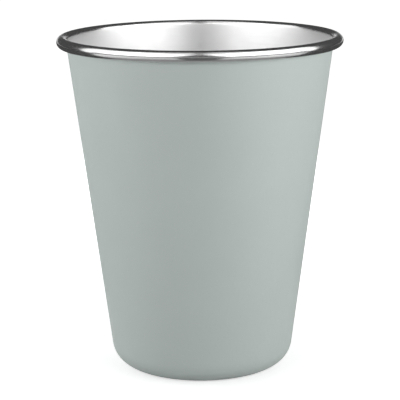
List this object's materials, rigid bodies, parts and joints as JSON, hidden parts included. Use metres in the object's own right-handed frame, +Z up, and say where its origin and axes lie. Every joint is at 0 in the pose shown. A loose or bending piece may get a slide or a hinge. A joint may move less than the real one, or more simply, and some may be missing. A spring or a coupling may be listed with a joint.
{
  "type": "drinking cup",
  "caption": "Tapered stainless steel drinking cup with a rolled rim, a bare steel inside and a satin grey powder coat on its outer wall.",
  "frame": {"origin": "on the table, under the cup's axis", "axes": "+Z up the cup's axis, out of its mouth; the cup is round, so X and Y are any two directions square to it"},
  "size_m": [0.088, 0.088, 0.104],
  "materials": {
    "stainless_steel": "satin",
    "grey_powder_coat": "satin"
  },
  "bodies": {
    "root": {"steel_cup": "stainless_steel", "powder_coat": "grey_powder_coat"}
  },
  "joints": []
}
